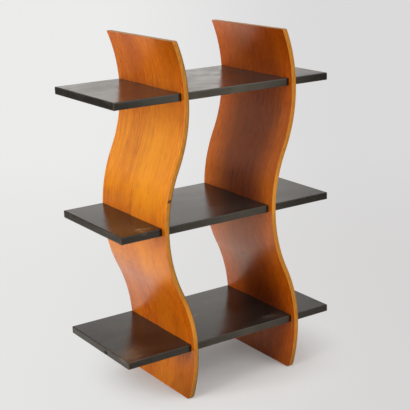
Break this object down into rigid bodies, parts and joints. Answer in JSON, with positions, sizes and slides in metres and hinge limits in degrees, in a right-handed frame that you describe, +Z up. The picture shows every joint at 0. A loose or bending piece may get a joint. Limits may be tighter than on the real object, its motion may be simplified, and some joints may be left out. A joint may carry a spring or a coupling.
{
  "type": "cd rack",
  "caption": "Open desk-top rack for disc cases: flat black-stained shelves crossing S-bent laminated uprights in halving joints, free-standing.",
  "frame": {"origin": "middle of the shelves' length and of the uprights' depth, on the surface that the rack stands on", "axes": "+X along the shelves to the right as seen from the front, +Y to the back, +Z up"},
  "size_m": [0.3, 0.15, 0.434],
  "materials": {
    "face_veneer": "satin lacquered orange-brown veneer",
    "core_ply": "satin lacquered ply edge, honey brown",
    "black_board": "semi-gloss black stain, worn brown at the edges"
  },
  "bodies": {
    "root": {"left_upright_core": "core_ply", "left_upright_left_veneer": "face_veneer", "left_upright_right_veneer": "face_veneer", "right_upright_core": "core_ply", "right_upright_left_veneer": "face_veneer", "right_upright_right_veneer": "face_veneer", "bottom_shelf": "black_board", "middle_shelf": "black_board", "top_shelf": "black_board"}
  },
  "joints": []
}
